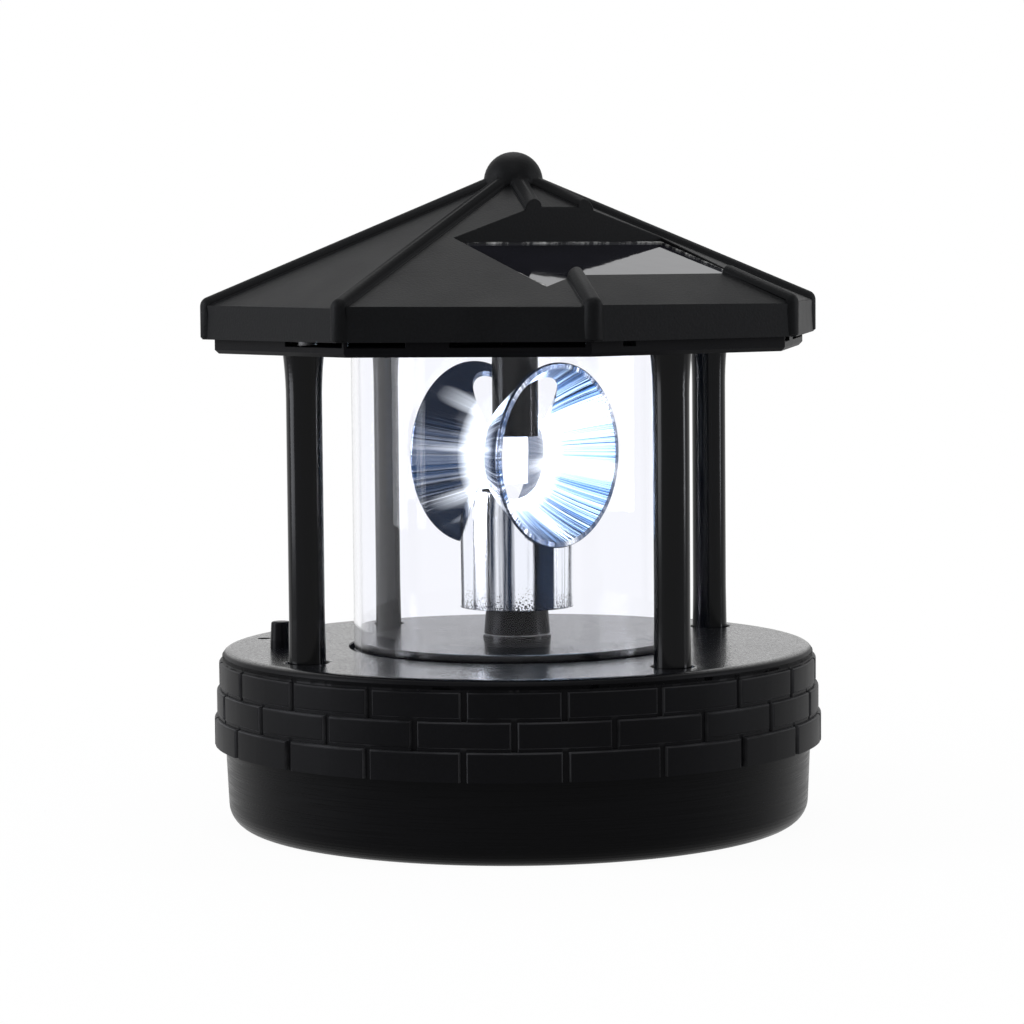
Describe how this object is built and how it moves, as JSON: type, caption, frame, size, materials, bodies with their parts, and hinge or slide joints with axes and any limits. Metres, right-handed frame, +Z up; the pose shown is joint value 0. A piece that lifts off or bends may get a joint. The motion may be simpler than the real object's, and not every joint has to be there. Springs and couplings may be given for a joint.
{
  "type": "garden lighthouse ornament",
  "caption": "Solar lighthouse lantern head: brick-ringed base, clear tube, pillars, eight-sided roof with solar panel, and a motor-turned twin-horn reflector round a lamp.",
  "frame": {"origin": "centre of the flat underside", "axes": "+Z up through the ball on top, -Y towards the side of the roof with the solar panel"},
  "size_m": [0.13, 0.13, 0.1429],
  "materials": {
    "roof_plastic": "fine moulded grain, charcoal black",
    "cover_plastic": "fine moulded grain, satin black",
    "pan_plastic": "smooth satin black",
    "collar_plastic": "satin black",
    "gloss_black": "polished black",
    "reflector_chrome": "vacuum-plated mirror on plastic",
    "clear_tube": "clear acrylic",
    "seal_rubber": "soft black rubber",
    "screw_steel": "zinc-plated",
    "shaft_steel": "ground steel",
    "contact_steel": "nickel-plated spring steel",
    "motor_steel": "zinc-plated can",
    "plate_steel": "pressed sheet",
    "bush_brass": "turned",
    "gear_nylon": "natural white nylon",
    "battery_sleeve": "plain shrink sleeve",
    "board_green": "solder-masked laminate",
    "component_black": "moulded epoxy",
    "lamp_board_white": "white solder mask",
    "lamp_light": "cool white lamp, lit, emissive",
    "solar_cell": "dark silicon",
    "panel_resin": "clear glossy resin",
    "white_sealant": "white silicone bead",
    "lead_red": "PVC insulation",
    "lead_white": "PVC insulation",
    "lead_black": "PVC insulation"
  },
  "bodies": {
    "housing": {"base_pan": "pan_plastic", "base_cover": "cover_plastic", "base_screws": "screw_steel", "battery_door": "pan_plastic", "battery_door_screw": "screw_steel", "battery_cell": "battery_sleeve", "battery_plate_contact": "contact_steel", "battery_spring_contact": "contact_steel", "circuit_board": "board_green", "board_parts": "component_black", "board_screws": "screw_steel", "switch_body": "component_black", "button_spring": "contact_steel", "motor_can": "motor_steel", "motor_end_cap": "gear_nylon", "motor_screws": "screw_steel", "gear_plate": "plate_steel", "gear_plate_screws": "screw_steel", "idler_pin": "shaft_steel", "shaft_bush": "bush_brass", "lantern_tube": "clear_tube", "tube_ring_lower": "seal_rubber", "tube_ring_upper": "seal_rubber", "pillar_left": "gloss_black", "pillar_front": "gloss_black", "pillar_right": "gloss_black", "pillar_back": "gloss_black", "pillar_screws_lower": "screw_steel", "pillar_screws_upper": "screw_steel", "soffit_tray": "roof_plastic", "lamp_post": "gloss_black", "lamp_board": "lamp_board_white", "lamp_chips": "lamp_light", "roof_shell": "roof_plastic", "roof_screws": "screw_steel", "panel_board": "component_black", "solar_cells": "solar_cell", "panel_resin": "panel_resin", "panel_sealant": "white_sealant", "panel_lead": "lead_red", "lamp_lead": "lead_white", "motor_lead": "lead_black", "battery_lead": "lead_red"},
    "reflector": {"output_shaft": "shaft_steel", "output_wheel": "gear_nylon", "shaft_clip": "shaft_steel", "drive_collar": "collar_plastic", "reflector_horns": "reflector_chrome", "reflector_hub": "reflector_chrome"},
    "idler": {"idler_gear": "gear_nylon"},
    "motor_rotor": {"motor_shaft": "shaft_steel", "motor_pinion": "bush_brass"},
    "button": {"switch_button": "gloss_black"}
  },
  "joints": [
    {"name": "reflector_spin", "type": "hinge", "parent": "housing", "child": "reflector", "pos_m": [0, 0, 0.0787], "axis": [0, 0, 1], "continuous": true},
    {"name": "idler_spin", "type": "hinge", "parent": "housing", "child": "idler", "pos_m": [0.00836, -0.00996, 0.029], "axis": [0, 0, 1], "continuous": true},
    {"name": "motor_spin", "type": "hinge", "parent": "housing", "child": "motor_rotor", "pos_m": [0.00405, -0.02062, 0.02], "axis": [0, 0, 1], "continuous": true},
    {"name": "button_press", "type": "slide", "parent": "housing", "child": "button", "axis": [0, 0, -1], "range_m": [0, 0.0015], "stiffness_N_per_m": 400, "springref_m": -0.0012, "deforming": ["button_spring"]}
  ],
  "couplings": [
    {"joint": "idler_spin", "follows": "reflector_spin", "ratio": -3.3333},
    {"joint": "motor_spin", "follows": "reflector_spin", "ratio": 12}
  ]
}
